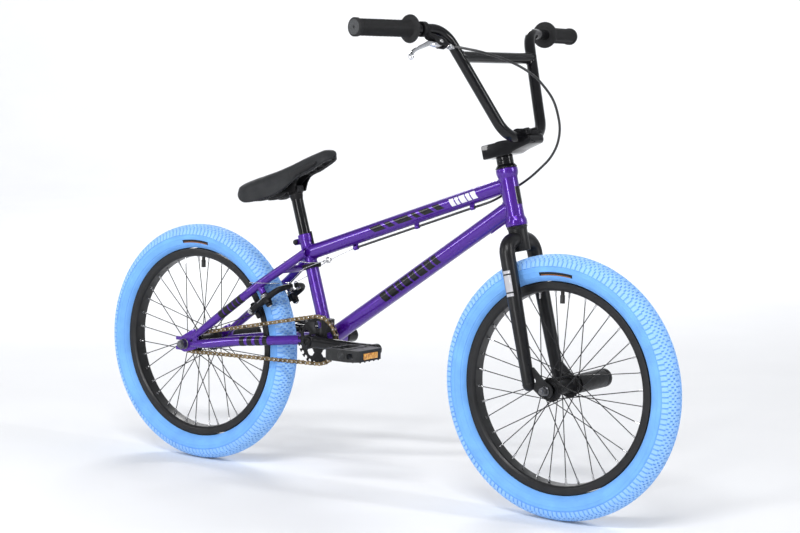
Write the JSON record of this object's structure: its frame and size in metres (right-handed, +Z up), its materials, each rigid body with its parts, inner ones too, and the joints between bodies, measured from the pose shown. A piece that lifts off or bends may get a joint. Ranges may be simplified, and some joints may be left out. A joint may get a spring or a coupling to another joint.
{
  "type": "bmx bike",
  "caption": "Small-wheeled freestyle bike with high-rise bars, a U-shaped rear brake, pegs, platform pedals and a low pivoting seat.",
  "frame": {"origin": "on the ground, midway between the two wheels, in the middle plane", "axes": "+X forward, +Y to the rider's left, +Z up"},
  "size_m": [1.4688, 0.77, 0.985],
  "materials": {
    "frame_paint": "gloss violet paint",
    "fork_paint": "satin black paint",
    "black_paint": "gloss black paint",
    "black_metal": "black anodised metal",
    "steel": "bright plated steel",
    "lever_alloy": "polished",
    "chain_steel": "brown brass-plated steel",
    "tyre_rubber": "light blue rubber with block tread",
    "tube_rubber": "matt",
    "rim_paint": "black anodised",
    "spoke_steel": "black spokes with bright nipples",
    "grip_rubber": "matt rubber",
    "cable_jacket": "black housing",
    "pedal_plastic": "moulded black plastic",
    "seat_plastic": "moulded black plastic",
    "seat_vinyl": "charcoal vinyl with a fine grain"
  },
  "bodies": {
    "frame": {"head_tube": "frame_paint", "top_tube": "frame_paint", "down_tube": "frame_paint", "seat_tube": "frame_paint", "bottom_bracket_shell": "frame_paint", "chainstay_right": "frame_paint", "chainstay_left": "frame_paint", "seatstay_right": "frame_paint", "seatstay_left": "frame_paint", "rear_dropouts": "frame_paint", "frame_gussets": "frame_paint", "cable_fittings": "frame_paint", "brake_bosses": "frame_paint", "frame_bearings": "steel", "seat_clamp_bolt": "black_metal", "rear_brake_housing": "cable_jacket", "rear_axle": "steel", "rear_axle_nuts": "steel", "rear_peg": "black_metal", "chain": "chain_steel", "straddle_cable": "steel"},
    "steering": {"fork_steerer": "fork_paint", "fork_leg_right": "fork_paint", "fork_leg_left": "fork_paint", "fork_dropouts": "fork_paint", "stem_body": "black_paint", "stem_cap": "black_paint", "stem_bolts": "black_metal", "headset_spacer": "black_paint", "handlebar": "black_paint", "grips": "grip_rubber", "lever_bracket": "black_metal", "brake_housing_loop": "cable_jacket", "front_axle": "steel", "front_axle_nuts": "steel", "front_peg": "black_metal"},
    "lever": {"brake_lever": "lever_alloy"},
    "front_wheel": {"front_tyre": "tyre_rubber", "front_inner_tube": "tube_rubber", "front_rim": "rim_paint", "front_spokes": "spoke_steel", "front_hub": "black_metal"},
    "rear_wheel": {"rear_tyre": "tyre_rubber", "rear_inner_tube": "tube_rubber", "rear_rim": "rim_paint", "rear_spokes": "spoke_steel", "rear_hub": "black_metal"},
    "driver": {"rear_driver": "steel"},
    "crank": {"crank_spindle": "steel", "crank_arm_right": "black_paint", "crank_arm_left": "black_paint", "sprocket": "black_metal", "pedal_axles": "steel"},
    "pedal_right_body": {"pedal_right": "pedal_plastic"},
    "pedal_left_body": {"pedal_left": "pedal_plastic"},
    "brake_right": {"brake_arm_right": "black_metal"},
    "brake_left": {"brake_arm_left": "black_metal"},
    "post": {"seat_post": "black_paint"},
    "seat": {"seat_shell": "seat_plastic", "seat_cover": "seat_vinyl"}
  },
  "joints": [
    {"name": "steer", "type": "hinge", "parent": "frame", "child": "steering", "pos_m": [0.3604, 0, 0.5755], "axis": [-0.2419, 0, 0.9703], "range_deg": [-75, 75], "deforming": ["brake_housing_loop"]},
    {"name": "lever_pull", "type": "hinge", "parent": "steering", "child": "lever", "pos_m": [0.292, -0.185, 0.931], "axis": [-0.8082, 0.1413, -0.5717], "range_deg": [0, 11], "stiffness_Nm_per_rad": 0.15, "springref_deg": -20.05, "deforming": ["straddle_cable"]},
    {"name": "front_spin", "type": "hinge", "parent": "steering", "child": "front_wheel", "pos_m": [0.4704, 0, 0.264], "axis": [0, 1, 0], "continuous": true},
    {"name": "rear_spin", "type": "hinge", "parent": "frame", "child": "rear_wheel", "pos_m": [-0.4704, 0, 0.264], "axis": [0, 1, 0], "continuous": true},
    {"name": "crank_spin", "type": "hinge", "parent": "frame", "child": "crank", "pos_m": [-0.106, 0, 0.306], "axis": [0, 1, 0], "continuous": true, "deforming": ["chain"]},
    {"name": "driver_spin", "type": "hinge", "parent": "frame", "child": "driver", "pos_m": [-0.4704, 0, 0.264], "axis": [0, 1, 0], "continuous": true},
    {"name": "pedal_right_spin", "type": "hinge", "parent": "crank", "child": "pedal_right_body", "pos_m": [0.067, -0.144, 0.306], "axis": [0, 1, 0], "continuous": true},
    {"name": "pedal_left_spin", "type": "hinge", "parent": "crank", "child": "pedal_left_body", "pos_m": [-0.279, 0.144, 0.306], "axis": [0, 1, 0], "continuous": true},
    {"name": "brake_right_turn", "type": "hinge", "parent": "frame", "child": "brake_right", "pos_m": [-0.2475, -0.045, 0.38247], "axis": [0.5872, 0, -0.8094], "range_deg": [0, 2.6]},
    {"name": "brake_left_turn", "type": "hinge", "parent": "frame", "child": "brake_left", "pos_m": [-0.2475, 0.045, 0.38247], "axis": [-0.5872, 0, 0.8094], "range_deg": [0, 2.6]},
    {"name": "post_slide", "type": "slide", "parent": "frame", "child": "post", "axis": [-0.2924, 0, 0.9563], "range_m": [-0.05, 0.03]},
    {"name": "seat_tilt", "type": "hinge", "parent": "post", "child": "seat", "pos_m": [-0.209, 0, 0.62], "axis": [0, 1, 0], "range_deg": [-8, 8]}
  ],
  "couplings": [
    {"joint": "driver_spin", "follows": "crank_spin", "ratio": 2.7778},
    {"joint": "brake_right_turn", "follows": "lever_pull", "ratio": 0.21818},
    {"joint": "brake_left_turn", "follows": "lever_pull", "ratio": 0.21818}
  ]
}
